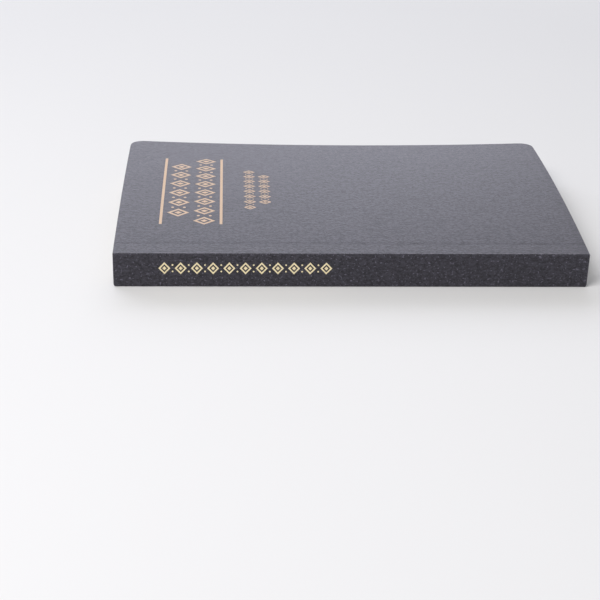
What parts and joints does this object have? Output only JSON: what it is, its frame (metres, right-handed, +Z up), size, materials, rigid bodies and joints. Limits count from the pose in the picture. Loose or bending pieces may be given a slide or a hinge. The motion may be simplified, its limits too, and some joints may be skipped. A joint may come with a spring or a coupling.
{
  "type": "bible",
  "caption": "Thin closed pocket testament with sewn leaves in a limp black leather-grain cover with square spine; the cover opens and the book opens flat at its middle.",
  "frame": {"origin": "centre of the closed book's footprint, on the surface it lies on", "axes": "+X along the spine from head to tail, +Y from the spine to the fore-edge, +Z up out of the front cover"},
  "size_m": [0.15, 0.1, 0.0137],
  "materials": {
    "cover_skin": "black pebble-grained imitation leather, low sheen",
    "gold_foil": "pale gold stamping foil",
    "page": "thin uncoated cream paper",
    "endpaper": "uncoated white endpaper",
    "board": "grey card",
    "kraft": "brown kraft paper",
    "cloth": "open-weave mull",
    "glue": "dried binder's adhesive",
    "thread": "white linen thread",
    "endband": "white woven band"
  },
  "bodies": {
    "back": {"back_cover_leather": "cover_skin", "back_liner": "board", "back_infill": "board", "back_hinge_cloth": "cloth", "back_pastedown": "endpaper", "back_flyleaf": "endpaper", "section_09": "page", "section_10": "page", "section_11": "page", "section_12": "page", "section_13": "page", "section_14": "page", "section_15": "page", "section_16": "page"},
    "spine": {"spine_leather": "cover_skin", "spine_stiffener": "board", "spine_lining_paper": "kraft", "spine_mull": "cloth", "spine_glue": "glue", "sewing_thread": "thread", "head_band": "endband", "tail_band": "endband"},
    "front_leaves": {"front_flyleaf": "endpaper", "section_01": "page", "section_02": "page", "section_03": "page", "section_04": "page", "section_05": "page", "section_06": "page", "section_07": "page", "section_08": "page"},
    "front_cover": {"front_cover_leather": "cover_skin", "front_liner": "board", "front_infill": "board", "front_hinge_cloth": "cloth", "front_pastedown": "endpaper"}
  },
  "joints": [
    {"name": "spine_fold", "type": "hinge", "parent": "back", "child": "spine", "pos_m": [0, -0.05, 0], "axis": [1, 0, 0], "range_deg": [0, 88]},
    {"name": "front_leaves_turn", "type": "hinge", "parent": "spine", "child": "front_leaves", "pos_m": [0, -0.05, 0.0114], "axis": [1, 0, 0], "range_deg": [0, 88]},
    {"name": "front_cover_hinge", "type": "hinge", "parent": "front_leaves", "child": "front_cover", "pos_m": [0, -0.05, 0.0114], "axis": [1, 0, 0], "range_deg": [0, 170]}
  ],
  "couplings": [
    {"joint": "front_leaves_turn", "follows": "spine_fold", "ratio": 1}
  ]
}
